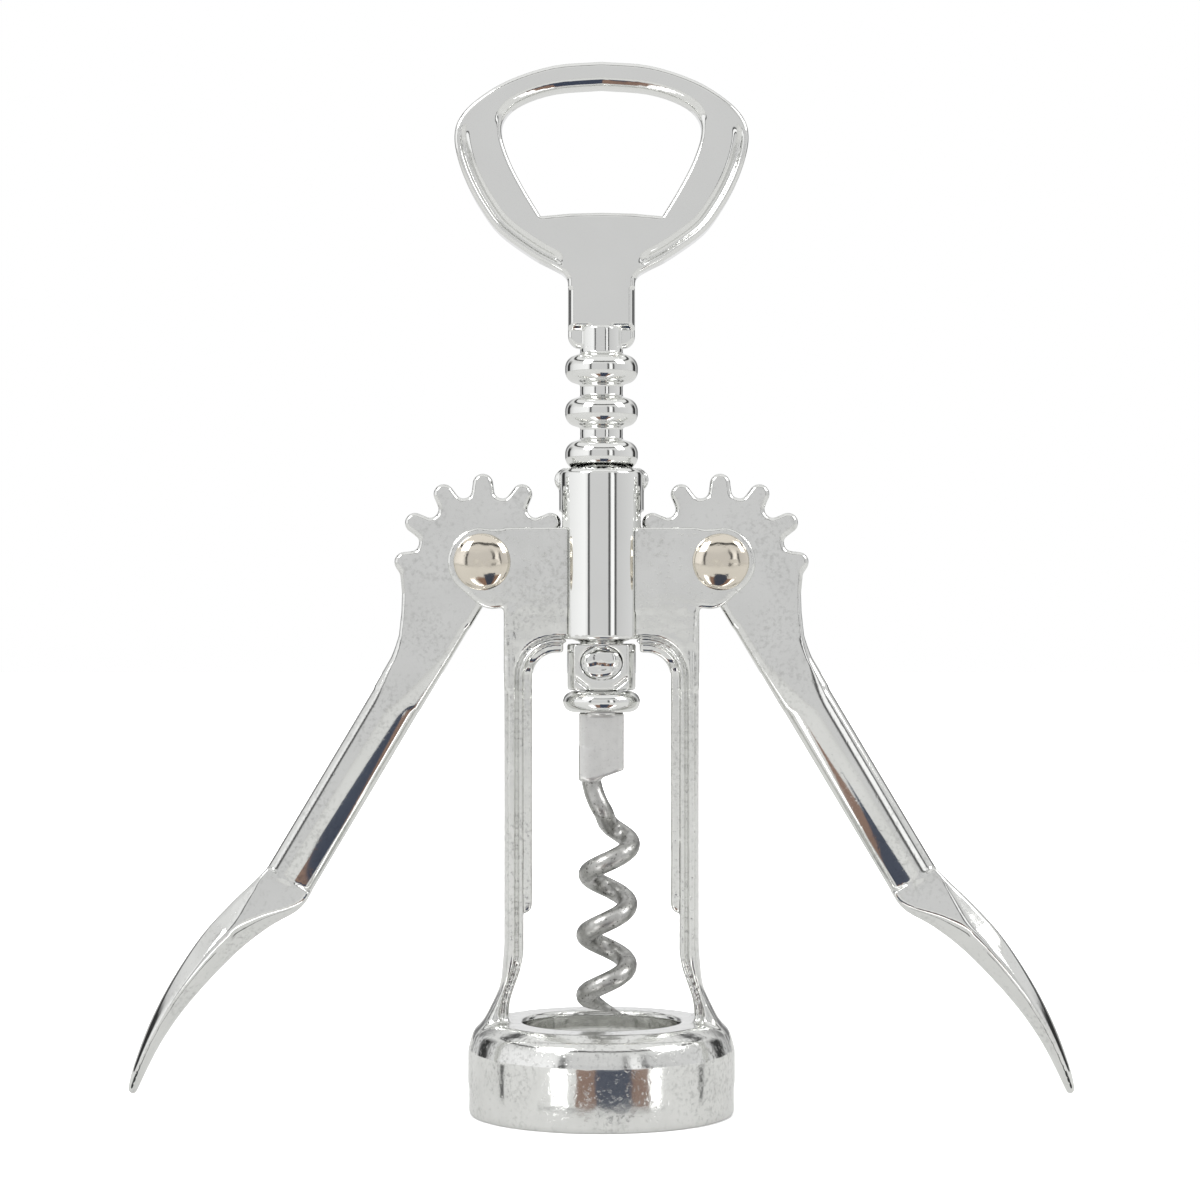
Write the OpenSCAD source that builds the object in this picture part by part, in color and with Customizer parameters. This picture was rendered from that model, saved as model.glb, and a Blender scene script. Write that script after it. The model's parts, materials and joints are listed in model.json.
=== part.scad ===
// Lever corkscrew with a ring rack, two gear levers and a bottle-opener handle.
// Millimetres. The origin is the centre of the bell's rim, +Z is up and the levers lie in the XZ plane.

/* [Bell] */
// Outside diameter of the bell
bell_d = 42; // [40:0.5:46]
// Height of the bell's flat top above its rim
bell_h = 14.6; // [13.5:0.1:16]
// Diameter of the socket that sits over the bottle's lip
socket_d = 32; // [30:0.5:34]
// Depth of that socket
socket_h = 11; // [9:0.5:12]
// Diameter of the hole that the cork rises through
cork_hole_d = 25; // [23:0.5:27]

/* [Posts and crossplates] */
// Distance from the axis to the outside of a post
post_r = 15.4; // [15:0.1:15.6]
// Thickness of a post's flange
post_t = 2.9; // [2.2:0.1:3.2]
// Depth of the posts and crossplates, front to back
frame_depth = 9.2; // [8.6:0.1:10.5]
// Height of the rib on the inside of a post
rib_h = 1.5; // [1:0.1:2]
// Thickness of that rib
rib_t = 3; // [2:0.1:4]
// Height at which the rib ends
rib_z = 31.7; // [28:0.5:40]
// Height of the arch between the posts
arch_z = 73; // [72:0.1:73.2]
// Corner radius of the arch
arch_r = 4; // [2:0.5:4.2]
// Width of the slot between the two crossplates
slot_w = 4.4; // [4.3:0.1:4.8]
// Radius of the crossplates' rounded ends
plate_end_r = 5.2; // [4.8:0.1:6]

/* [Guide tube] */
// Outside diameter of the guide tube
tube_d = 13.5; // [13:0.1:14]
// Height of the tube's lower end
tube_z0 = 75.1; // [74:0.1:76]
// Height of the tube's upper end
tube_z1 = 102.2; // [101:0.1:102.4]
// Radial running clearance between the rings and the tube
ring_fit = 0.08; // [0.04:0.01:0.1]

/* [Rack] */
// Radius of the rings
ring_r = 5.8; // [5.7:0.05:5.9]
// Radius of the shaft between the rings
core_r = 3.4; // [3:0.1:3.6]
// Distance from one ring to the next
rack_pitch = 6.8; // [6.7:0.05:6.9]
// Number of rings
ring_count = 7; // [7:1:7]
// Radius of the block under the rings
block_r = 5.45; // [5.2:0.05:5.6]

/* [Levers] */
// Number of teeth that a full circle would hold
gear_teeth = 12; // [12:1:12]
// Height of the lever pivots
pivot_z = 87.3; // [87.2:0.1:87.6]
// Angle between a lever and straight down, as drawn
lever_angle = 30.8; // [28:0.1:34]
// Thickness of the gear head
head_t = 4; // [3.8:0.1:4.1]
// Thickness of the arm
arm_t = 6; // [5:0.1:7]
// Radius of the gear's root circle
root_r = 10.5; // [10:0.1:10.8]
// Radius of the gear's tip circle
tip_r = 14; // [13.7:0.1:14]
// Width of a tooth near its tip
tooth_w = 3.2; // [2.8:0.1:3.2]
// Radius of the pivot rivets
rivet_r = 2.5; // [2:0.1:3]
// Radial running clearance of a lever on its rivet
rivet_fit = 0.05; // [0.03:0.01:0.1]

/* [Opener handle] */
// Thickness of the handle, front to back
handle_t = 6.4; // [5:0.1:7]
// Thickness of the neck, front to back
neck_t = 7; // [6:0.1:7.4]
// Half width of the neck
neck_w = 5.3; // [5:0.1:5.4]

/* [Worm] */
// Diameter of the wire
wire_d = 3.15; // [2.8:0.05:3.4]
// Outside diameter of the turns
worm_d = 9.7; // [9:0.1:10]
// Rise of one turn
worm_pitch = 9.6; // [9:0.1:10]
// Height of the point
worm_tip_z = 15.1; // [15:0.1:18]

/* [Hidden] */
$fn = 64;
eps = 0.01;
bell_r = bell_d / 2;
socket_r = socket_d / 2;
cork_hole_r = cork_hole_d / 2;
rim_round = 0.8;            // rounding of the bell's lower edge
post_in = post_r - post_t;
rib_in = post_in - rib_h;
half_depth = frame_depth / 2;
half_slot = slot_w / 2;
tube_r = tube_d / 2;
pitch_r = rack_pitch * gear_teeth / 360 * 180 / PI;
pivot_x = pitch_r + ring_r;
plate_top = pivot_z + plate_end_r;
window_h = 16;              // height of the tooth windows in the tube
window_w = 4.6;             // their width
ear_r = 1.9;                // radius of the small lugs at the tube's top
ear_x = 5.6;
ear_t = 2.4;
head_r = 4.55;              // radius of a rivet's domed head
head_h = 2.2;
tail_r = 3.6;               // radius of its peened tail
tail_h = 1.1;
ring0_z = pivot_z - 1.5 * rack_pitch;
block_z0 = 67;
block_z1 = 74.3;
block_flat = 3.5;           // half distance over the block's front and back flats
neck_z0 = 121.4;
neck_z1 = 123.2;
neck_round = 5.7;
spigot_r = 2.6;
spigot_z = 74;
collar_z0 = 63.5;
collar_z1 = 66.9;
collar_r = 6.15;
collar_fit = 0.05;
pin_r = 1.5;
pin_head_r = 2.9;
pin_head_h = 0.45;
pin_z = 71.4;
shank_w = 7.2;
shank_t = 3.4;
shank_z0 = 54.3;
shank_z1 = 63.3;

// Smooth curve through a list of points, steps pieces between neighbours
function curve_point(a, b, c, d, t) =
    0.5 * (2 * b + (c - a) * t + (2 * a - 5 * b + 4 * c - d) * t * t
           + (3 * b - a - 3 * c + d) * t * t * t);
function curve(p, steps) = [
    for (i = [0 : len(p) - 2], s = [0 : steps - 1])
        curve_point(p[max(i - 1, 0)], p[i], p[i + 1], p[min(i + 2, len(p) - 1)], s / steps),
    p[len(p) - 1]];
function reversed(p) = [for (i = [len(p) - 1 : -1 : 0]) p[i]];
function mirrored(p) = concat(p, [for (q = reversed(p)) [-q[0], q[1]]]);
function arc(cx, cy, r, a0, a1, n) = [for (i = [0 : n]) let (a = a0 + (a1 - a0) * i / n)
    [cx + r * cos(a), cy + r * sin(a)]];

// Extrudes an outline drawn as (x, z) from y0 to y1
module slab(y0, y1) {
    translate([0, y1, 0]) rotate([90, 0, 0]) linear_extrude(y1 - y0) children();
}
module both_sides() {
    children();
    mirror([1, 0, 0]) children();
}

// ---- frame ----
// Outside of the frame as (radius, height), from the bell's rim to the top of a post
foot_curve = curve([[bell_r, bell_h - 4.6], [bell_r - 0.9, bell_h - 1.9], [bell_r - 2.2, bell_h + 0.2],
                    [post_r + 1.4, bell_h + 3.8], [post_r + 0.5, bell_h + 6.5], [post_r, bell_h + 12]], 4);
bell_shoulder = curve([[bell_r, bell_h - 4.6], [bell_r - 0.9, bell_h - 1.9],
                       [bell_r - 2.2, bell_h - 0.3], [bell_r - 3.3, bell_h]], 4);

module bell_shape() {
    rotate_extrude() polygon(concat(
        [[cork_hole_r, socket_h], [socket_r, socket_h], [socket_r, 0.5], [socket_r + 0.5, 0]],
        arc(bell_r - rim_round, rim_round, rim_round, -90, 0, 4),
        bell_shoulder,
        [[cork_hole_r, bell_h]]));
}
module frame_envelope() {
    rotate_extrude() polygon(concat([[0, 5], [bell_r, 5]], foot_curve, [[post_r, arch_z], [0, arch_z]]));
}
module post_shape() {
    inner_foot = curve([[cork_hole_r + 2.3, bell_h - 2], [cork_hole_r + 2.2, bell_h + 1.5],
                        [cork_hole_r + 1, bell_h + 4.5], [post_in + 0.2, bell_h + 8],
                        [post_in, bell_h + 12]], 4);
    slab(-half_depth, half_depth)
        polygon(concat(inner_foot, [[post_in, arch_z], [bell_r, arch_z], [bell_r, bell_h - 2]]));
}
module rib_shape() {
    slab(-rib_t / 2, rib_t / 2) {
        translate([rib_in, rib_z + rib_h]) square([rib_h + 1, arch_z - rib_z - rib_h]);
        translate([post_in, rib_z + rib_h]) circle(rib_h);
    }
}
module gusset_shape() {
    slab(-half_depth, half_depth) difference() {
        translate([rib_in - arch_r, arch_z - arch_r]) square([arch_r + rib_h + 1, arch_r]);
        translate([rib_in - arch_r, arch_z - arch_r]) circle(arch_r);
        translate([rib_in, arch_z - arch_r - 1]) square([rib_h + 2, 1]);
    }
}
module crossplate_outline() {
    difference() {
        union() {
            translate([0, arch_z]) square([post_r, plate_top - arch_z]);
            translate([0, pivot_z - plate_end_r]) square([pivot_x, 2 * plate_end_r]);
            translate([pivot_x, pivot_z]) circle(plate_end_r);
            translate([pivot_x - 1.7, pivot_z - 3.2]) circle(4.2);
            translate([post_r - 1, pivot_z - 7.4]) square([pivot_x - post_r - 0.7, 4]);
        }
        translate([pivot_x, pivot_z]) circle(rivet_r);
    }
}
module frame() {
    color("lightgray") difference() {
        union() {
            bell_shape();
            both_sides() {
                intersection() {
                    post_shape();
                    frame_envelope();
                }
                rib_shape();
                gusset_shape();
                slab(-half_depth, -half_slot) crossplate_outline();
                slab(half_slot, half_depth) crossplate_outline();
            }
        }
        translate([0, 0, arch_z - arch_r - 1]) cylinder(r = tube_r, h = plate_top);
    }
}

// ---- guide tube ----
module guide_tube() {
    color("silver") difference() {
        union() {
            rotate_extrude() polygon([[ring_r, tube_z0], [tube_r, tube_z0], [tube_r, tube_z1 - 0.6],
                                      [tube_r - 0.4, tube_z1], [ring_r, tube_z1]]);
            both_sides() translate([ear_x, ear_t / 2, tube_z1 - ear_r]) rotate([90, 0, 0])
                cylinder(r = ear_r, h = ear_t);
        }
        translate([0, 0, tube_z0 - 1]) cylinder(r = ring_r + ring_fit, h = tube_z1 - tube_z0 + 2);
        translate([-tube_r - 1, -window_w / 2, pivot_z - window_h / 2])
            cube([2 * tube_r + 2, window_w, window_h]);
    }
}

// ---- pivot rivets ----
module rivet_shape() {
    translate([pivot_x, 0, pivot_z]) rotate([90, 0, 0]) rotate_extrude() polygon(concat(
        [[0, -half_depth - tail_h], [tail_r * 0.6, -half_depth - tail_h * 0.8],
         [tail_r, -half_depth], [rivet_r, -half_depth], [rivet_r, half_depth], [head_r, half_depth]],
        [for (a = [15 : 15 : 75]) [head_r * cos(a), half_depth + head_h * sin(a)]],
        [[0, half_depth + head_h]]));
}
module rivet_right() {
    color("tan") rivet_shape();
}
module rivet_left() {
    color("tan") mirror([1, 0, 0]) rivet_shape();
}

// ---- levers ----
// Outline of a lever as (distance along the arm, offset towards the frame)
arm_in = 3.4;
arm_out = -4.6;
arm_end = 59;
lever_tip = 101.2;
arm_start = 12.8;           // where the arm becomes thicker than the gear head
spoon_out = curve([[arm_end, arm_out], [66.4, -6.5], [73.6, -8], [82.2, -8.5], [89.5, -8.1],
                   [96.6, -6.9], [lever_tip, -5.4]], 4);
spoon_in = curve([[lever_tip - 0.6, -4.3], [92.1, -4.9], [83.7, -4.2], [73.7, -2], [67.2, 0.5],
                  [62.2, 3.3], [arm_end, arm_in]], 4);
spoon_side = curve([[arm_end - 1, arm_t / 2], [66, 3.9], [76, 5.2], [86, 5.2], [95, 3.9],
                    [lever_tip, 1.2]], 4);

module tooth() {
    tooth_end = tip_r - tooth_w / 2;
    polygon([[root_r - 1, -tooth_w / 2 - 0.45], [tooth_end, -tooth_w / 2],
             [tooth_end, tooth_w / 2], [root_r - 1, tooth_w / 2 + 0.45]]);
    translate([tooth_end, 0]) circle(tooth_w / 2);
}
// Turns (along, offset) into (x, z) for the right lever, about its pivot
module along_arm() {
    rotate(lever_angle - 90) mirror([0, 1]) children();
}
// Flat head between the teeth and the arm, cut away behind the crossplate's heel
module head_outline() {
    polygon(concat(arc(0, 0, root_r, -10, 228, 28), [[-3.2, -5.6], [-0.4, -6]]));
    along_arm() polygon([[0, arm_in], [0, arm_out], [25, arm_out], [25, arm_in]]);
    polygon([[0, 0], [13.1, 0], [13, -4], [12.9, -9], [13.3, -12], [14.5, -15.6], [16.7, -19.1],
             [13, -19.1], [4, -9]]);
}
module lever_shape() {
    translate([pivot_x, 0, pivot_z]) difference() {
        union() {
            slab(-head_t / 2, head_t / 2) {
                head_outline();
                for (a = [0 : 30 : 210]) rotate(a) tooth();
            }
            slab(-arm_t / 2, arm_t / 2) along_arm()
                polygon([[arm_start, arm_in], [arm_start, arm_out], [arm_end + eps, arm_out],
                         [arm_end + eps, arm_in]]);
            intersection() {
                slab(-arm_t, arm_t) along_arm() polygon(concat(spoon_out, spoon_in));
                rotate([0, 90 - lever_angle, 0]) linear_extrude(20, center = true)
                    polygon(concat([[arm_end - 1, -arm_t / 2]], [for (p = spoon_side) [p[0], -p[1]]],
                                   reversed(spoon_side)));
            }
        }
        slab(-arm_t, arm_t) circle(rivet_r + rivet_fit);
    }
}
module lever_right() {
    color("gainsboro") lever_shape();
}
module lever_left() {
    color("gainsboro") mirror([1, 0, 0]) lever_shape();
}

// ---- opener handle and rack shaft ----
handle_outer = curve([[neck_w, 132.6], [7.6, 133.8], [11, 135.6], [16.2, 139.4], [19.1, 143.2],
                      [21.2, 147], [22.7, 151], [23.3, 154.6], [22.4, 157.6], [19.6, 160.5],
                      [14.6, 163.5], [7.5, 165.8], [0, 166.4]], 3);
handle_hole = curve([[9.5, 142.2], [12.3, 146.4], [14.5, 150.7], [15.8, 154.9], [15.3, 157.7],
                     [12.5, 160], [7.3, 161.7], [0, 162.3]], 3);
ring_side = [[-2.7, core_r], [-1.9, ring_r - 1.05], [-1.1, ring_r - 0.2], [-0.5, ring_r],
             [0.5, ring_r], [1.1, ring_r - 0.2], [1.9, ring_r - 1.05], [2.7, core_r]];

module rack_shaft() {
    color("whitesmoke") difference() {
        union() {
            slab(-handle_t / 2, handle_t / 2) difference() {
                polygon(mirrored(handle_outer));
                polygon(mirrored(handle_hole));
            }
            translate([0, 0, neck_z1]) linear_extrude(11) intersection() {
                circle(neck_round);
                square([2 * neck_w, neck_t], center = true);
            }
            intersection() {
                translate([0, 0, neck_z0 - 1]) cylinder(r1 = core_r - 0.9, r2 = neck_w + 0.4,
                                                        h = neck_z1 - neck_z0 + 1 + eps);
                translate([-neck_w, -neck_t / 2, neck_z0 - 1]) cube([2 * neck_w, neck_t, 4]);
            }
            rotate_extrude() polygon(concat(
                [[0, block_z0], [block_r - 0.3, block_z0], [block_r, block_z0 + 0.3],
                 [block_r, block_z1 - 0.3], [block_r - 0.3, block_z1], [core_r, block_z1]],
                [for (i = [0 : ring_count - 1], p = ring_side) [p[1], ring0_z + i * rack_pitch + p[0]]],
                [[core_r, neck_z1 + 1], [0, neck_z1 + 1]]));
        }
        for (side = [0, 180]) rotate(side)
            translate([-block_r - 1, -block_r - 1, block_z0 - 1])
                cube([2 * block_r + 2, block_r + 1 - block_flat, block_z1 - block_z0 + 1.05]);
        translate([0, 0, block_z0 - 1]) cylinder(r = spigot_r, h = spigot_z - block_z0 + 1);
        translate([0, block_r, pin_z]) rotate([90, 0, 0]) cylinder(r = pin_r, h = 2 * block_r);
    }
}

// ---- stop collar ----
module stop_collar() {
    collar_half = (collar_z1 - collar_z0) / 2;
    color("gray") rotate_extrude() translate([0, (collar_z0 + collar_z1) / 2]) difference() {
        union() {
            translate([collar_r - collar_half, 0]) circle(collar_half);
            translate([0, -collar_half]) square([collar_r - collar_half, 2 * collar_half]);
        }
        translate([-collar_r, -collar_r]) square([collar_r + spigot_r + collar_fit, 2 * collar_r]);
    }
}

// ---- worm ----
wire_sides = 8;
turn_steps = 24;
wire_r = wire_d / 2;
coil_r = worm_d / 2 - wire_r;
coil_x = 1.3;               // the turns stand a little to one side of the shaft's axis
tip_angle = 50;
lead_z = 48.5;              // where the straight lead-in starts to bend into the turns
coil_z = 43;                // where the turns reach their full radius
top_z = shank_z0;
point_turns = 0.7;          // part of a turn over which the wire tapers to its point
step_z = worm_pitch / turn_steps;
path_steps = ceil((top_z - worm_tip_z) / step_z);

function ease(t) = let (c = min(max(t, 0), 1)) c * c * (3 - 2 * c);
function coil_at(z) = let (a = tip_angle + (z - worm_tip_z) / worm_pitch * 360,
                           cx = coil_x - 0.5 * ease((42 - z) / 12))
    [cx + coil_r * cos(a), coil_r * sin(a), z];
function lead_at(z) = [min(-1.5 + max(51 - z, 0) * 0.3, 0.5), 0, z];
function wire_at(z) = let (w = ease((lead_z - z) / (lead_z - coil_z)))
    lead_at(z) * (1 - w) + coil_at(z) * w;
function unit(v) = v / norm(v);
function wire_radius(z) = wire_r * (0.12 + 0.88 * ease((z - worm_tip_z) / (worm_pitch * point_turns)));
function wire_ring(z) = let (p = wire_at(z), t = unit(wire_at(z + 0.05) - wire_at(z - 0.05)),
                             b = unit(cross([1, 0.3, 0], t)), n = cross(t, b), r = wire_radius(z))
    [for (k = [0 : wire_sides - 1]) let (a = 360 * k / wire_sides) p + r * (cos(a) * n + sin(a) * b)];

module wire_shape() {
    rings = [for (i = [0 : path_steps]) wire_ring(worm_tip_z + i * (top_z - worm_tip_z) / path_steps)];
    points = [for (r = rings, p = r) p];
    last = path_steps * wire_sides;
    faces = concat(
        [for (i = [0 : path_steps - 1], k = [0 : wire_sides - 1], half = [0, 1])
            let (a = i * wire_sides, b = a + wire_sides, m = (k + 1) % wire_sides)
                half == 0 ? [a + k, a + m, b + m] : [a + k, b + m, b + k]],
        [[for (k = [wire_sides - 1 : -1 : 0]) k]],
        [[for (k = [0 : wire_sides - 1]) last + k]]);
    polyhedron(points, faces);
}
module worm() {
    color("dimgray") {
        difference() {
            translate([0, 0, shank_z1 - 1]) cylinder(r = spigot_r, h = spigot_z - shank_z1 + 1);
            translate([0, block_r, pin_z]) rotate([90, 0, 0]) cylinder(r = pin_r, h = 2 * block_r);
        }
        slab(-shank_t / 2, shank_t / 2)
            polygon([[-shank_w / 2, shank_z1], [-shank_w / 2, shank_z0 + 0.4], [-shank_w / 2 + 0.3, shank_z0],
                     [0.4, shank_z0], [1.2, shank_z0 + 1.6], [shank_w / 2, shank_z0 + 2.6],
                     [shank_w / 2, shank_z1]]);
        wire_shape();
    }
}

// ---- worm pin ----
module worm_pin() {
    color("darkgray") translate([0, 0, pin_z]) rotate([90, 0, 0]) {
        translate([0, 0, -block_flat]) cylinder(r = pin_r, h = 2 * block_flat);
        translate([0, 0, block_flat]) cylinder(r1 = pin_head_r, r2 = pin_head_r - 0.3, h = pin_head_h);
        translate([0, 0, -block_flat - pin_head_h])
            cylinder(r1 = pin_head_r - 0.3, r2 = pin_head_r, h = pin_head_h);
    }
}

frame();
guide_tube();
rivet_left();
rivet_right();
lever_left();
lever_right();
rack_shaft();
stop_collar();
worm();
worm_pin();
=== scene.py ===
import json
import math
import bmesh
import bpy
import numpy as np
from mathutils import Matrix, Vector


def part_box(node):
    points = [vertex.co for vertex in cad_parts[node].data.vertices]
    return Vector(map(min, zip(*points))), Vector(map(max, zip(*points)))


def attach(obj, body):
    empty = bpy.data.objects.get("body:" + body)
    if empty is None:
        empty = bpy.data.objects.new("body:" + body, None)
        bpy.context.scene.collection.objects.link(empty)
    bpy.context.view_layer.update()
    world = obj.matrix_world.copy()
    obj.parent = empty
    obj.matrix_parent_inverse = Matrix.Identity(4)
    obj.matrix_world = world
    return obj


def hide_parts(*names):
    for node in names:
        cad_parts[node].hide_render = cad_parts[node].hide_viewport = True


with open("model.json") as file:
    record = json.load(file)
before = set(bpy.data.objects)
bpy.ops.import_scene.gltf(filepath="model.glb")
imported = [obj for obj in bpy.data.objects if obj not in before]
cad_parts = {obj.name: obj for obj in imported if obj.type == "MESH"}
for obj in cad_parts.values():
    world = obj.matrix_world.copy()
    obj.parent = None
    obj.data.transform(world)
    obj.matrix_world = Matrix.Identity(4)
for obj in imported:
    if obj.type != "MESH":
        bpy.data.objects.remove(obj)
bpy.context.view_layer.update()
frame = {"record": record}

mm = 0.001

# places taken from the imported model, in millimetres


def cornersOf(node):
    low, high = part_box(node)
    return np.array(low) / mm, np.array(high) / mm


def jointPlace(name):
    joint = next(j for j in frame["record"]["behaviour"]["joints"] if j["name"] == name)
    return np.array(joint["pos_m"]) / mm


pivot = jointPlace("right_lever_swing")
frameLow, frameHigh = cornersOf("frame")
tubeLow, tubeHigh = cornersOf("guide_tube")
shaftLow, shaftHigh = cornersOf("rack_shaft")
collarLow, collarHigh = cornersOf("stop_collar")
pinLow, pinHigh = cornersOf("worm_pin")
leverLow, leverHigh = cornersOf("lever_right")

# rounded solids: every cast piece is one smooth surface


def blendJoin(a, b, r):
    h = np.clip(0.5 + 0.5 * (b - a) / r, 0, 1)
    return b * (1 - h) + a * h - r * h * (1 - h)


def blendCut(a, b, r):
    return -blendJoin(-a, b, r)


def blendCommon(a, b, r):
    return -blendJoin(-a, -b, r)


def ease(t):
    t = np.clip(t, 0, 1)
    return t * t * (3 - 2 * t)


def curveThrough(points, steps=6):  # smooth curve through a few points
    p = np.array(points, float)
    p = np.vstack([2 * p[0] - p[1], p, 2 * p[-1] - p[-2]])
    t = np.linspace(0, 1, steps, endpoint=False)[:, None]
    spans = []
    for a, b, c, d in zip(p[:-3], p[1:-2], p[2:-1], p[3:]):
        spans.append(0.5 * (2 * b + (c - a) * t + (2 * a - 5 * b + 4 * c - d) * t**2
                            + (3 * b - a - 3 * c + d) * t**3))
    return np.vstack(spans + [p[-2:-1]])


def outlineDistance(outline, x, z):  # distance to a closed outline, negative inside
    best = np.full(x.shape, 1e9)
    inside = np.zeros(x.shape, bool)
    for (ax, az), (bx, bz) in zip(outline, np.roll(outline, -1, axis=0)):
        ex, ez = bx - ax, bz - az
        wx, wz = x - ax, z - az
        t = np.clip((wx * ex + wz * ez) / max(ex * ex + ez * ez, 1e-12), 0, 1)
        best = np.minimum(best, (wx - ex * t) ** 2 + (wz - ez * t) ** 2)
        if az != bz:
            crosses = (az > z) != (bz > z)
            inside ^= crosses & (x < ex * (z - az) / ez + ax)
    return np.where(inside, -1, 1) * np.sqrt(best)


def roundedSlab(across, depth, half, r):  # an outline given a thickness and soft edges
    a, b = across + r, np.abs(depth) - half + r
    return np.minimum(np.maximum(a, b), 0) + np.hypot(np.maximum(a, 0), np.maximum(b, 0)) - r


def roundedBox(x, y, halfX, halfY, r):
    a, b = np.abs(x) - halfX + r, np.abs(y) - halfY + r
    return np.minimum(np.maximum(a, b), 0) + np.hypot(np.maximum(a, 0), np.maximum(b, 0)) - r


cornerSteps = np.array([(i, j, k) for i in (0, 1) for j in (0, 1) for k in (0, 1)])


def sampleShape(shape, low, count, cell):  # full detail only near the surface
    block = 5
    blocks = (count + block - 1) // block
    big = [low[i] + cell * block * np.arange(blocks[i] + 1) for i in range(3)]
    coarse = shape(*np.meshgrid(*big, indexing="ij"))
    near = np.full(tuple(blocks), np.inf)
    for i, j, k in cornerSteps:
        part = coarse[i:i + blocks[0], j:j + blocks[1], k:k + blocks[2]]
        near = np.minimum(near, np.abs(part))
    near = near < block * cell * 2.1
    value = coarse[:-1, :-1, :-1]
    for axis in range(3):
        value = np.repeat(value, block, axis=axis)
        near = np.repeat(near, block, axis=axis)
    wanted = near.copy()
    for i, j, k in cornerSteps[1:]:
        wanted[i:, j:, k:] |= near[:near.shape[0] - i, :near.shape[1] - j, :near.shape[2] - k]
    at = np.argwhere(wanted)
    value[tuple(at.T)] = shape(*(low + at * cell).T)
    return value


def surfaceOf(value, low, cell):  # quads through the cells that the surface crosses
    inside = value < 0
    size = np.array(value.shape) - 1
    total = np.zeros(tuple(size), np.int8)
    for i, j, k in cornerSteps:
        total += inside[i:i + size[0], j:j + size[1], k:k + size[2]]
    cells = np.argwhere((total > 0) & (total < 8))
    number = np.full(tuple(size), -1, int)
    number[tuple(cells.T)] = np.arange(len(cells))
    spot = np.zeros((len(cells), 3))
    hits = np.zeros(len(cells))
    for a in cornerSteps:
        for axis in range(3):
            if a[axis]:
                continue
            b = a.copy()
            b[axis] = 1
            va, vb = value[tuple((cells + a).T)], value[tuple((cells + b).T)]
            cut = (va < 0) != (vb < 0)
            t = np.where(cut, va / np.where(cut, va - vb, 1), 0)
            spot += np.where(cut[:, None], a + t[:, None] * (b - a), 0)
            hits += cut
    points = low + (cells + spot / hits[:, None]) * cell
    faces = []
    for axis in range(3):
        u, v = (axis + 1) % 3, (axis + 2) % 3
        step = np.eye(3, dtype=int)[axis]
        a = inside[:-1] if axis == 0 else inside[:, :-1] if axis == 1 else inside[:, :, :-1]
        b = inside[1:] if axis == 0 else inside[:, 1:] if axis == 1 else inside[:, :, 1:]
        edges = np.argwhere(a != b)
        within = (edges[:, u] > 0) & (edges[:, v] > 0) & (edges[:, u] < size[u]) & (edges[:, v] < size[v])
        edges = edges[within]
        du, dv = np.eye(3, dtype=int)[u], np.eye(3, dtype=int)[v]
        quad = np.stack([number[tuple((edges + s).T)] for s in (-du - dv, -dv, 0 * step, -du)], axis=1)
        outward = inside[tuple(edges.T)]
        faces.append(np.where(outward[:, None], quad, quad[:, ::-1]))
    return points, np.vstack(faces)


def settle(shape, points, rounds=3):  # pulls every point onto the true surface
    h = 0.02
    for _ in range(rounds):
        x, y, z = points.T
        d = shape(x, y, z)
        slope = np.stack([shape(x + h, y, z) - shape(x - h, y, z), shape(x, y + h, z) - shape(x, y - h, z),
                          shape(x, y, z + h) - shape(x, y, z - h)], axis=1) / (2 * h)
        steep = np.maximum((slope**2).sum(1), 0.05)
        points = points - np.clip(d / steep, -0.4, 0.4)[:, None] * slope
    return points


def meshPiece(name, points, faces, material, smooth=True):
    mesh = bpy.data.meshes.new(name)
    mesh.from_pydata((np.asarray(points) * mm).tolist(), [], [list(f) for f in faces])
    mesh.validate()
    piece = bpy.data.objects.new(name, mesh)
    bpy.context.scene.collection.objects.link(piece)
    mesh.polygons.foreach_set("use_smooth", [smooth] * len(mesh.polygons))
    mesh.materials.append(material)
    return piece


def castSurface(shape, low, high, cell):
    low = np.array(low, float) - 2 * cell
    count = np.ceil((np.array(high, float) + 2 * cell - low) / cell).astype(int)
    value = sampleShape(shape, low, count, cell)
    points, faces = surfaceOf(value, low, cell)
    return settle(shape, points), faces


def lathePiece(name, profile, material, steps=96, place=(0, 0, 0), towards=(0, 0, 1), bump=None):
    # turned piece: profile is (radius, height), its ends on the axis or a closed loop
    turn = Vector((0, 0, 1)).rotation_difference(Vector(towards)).to_matrix()
    closed = profile[0][0] > 1e-6
    points, rows, faces = [], [], []
    for r, h in profile:
        if r < 1e-6:
            rows.append([len(points)] * steps)
            points.append((0, 0, h))
            continue
        rows.append(list(range(len(points), len(points) + steps)))
        for i in range(steps):
            a = 2 * math.pi * i / steps
            points.append((r * math.cos(a), r * math.sin(a), h))
    pairs = list(zip(rows, rows[1:])) + ([(rows[-1], rows[0])] if closed else [])
    for low, high in pairs:
        for i in range(steps):
            j = (i + 1) % steps
            quad = [low[i], low[j], high[j], high[i]]
            face = list(dict.fromkeys(quad))
            if len(face) > 2:
                faces.append(face)
    points = np.array(points, float)
    if bump is not None:
        points = bump(points)
    points = np.array([tuple(turn @ Vector(p)) for p in points]) + np.array(place)
    piece = meshPiece(name, points, faces, material)
    tidy = bmesh.new()
    tidy.from_mesh(piece.data)
    bmesh.ops.recalc_face_normals(tidy, faces=tidy.faces)
    tidy.to_mesh(piece.data)
    tidy.free()
    return piece


def standFor(piece, body, slot, *nodes):
    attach(piece, body)
    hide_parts(*nodes)


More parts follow.
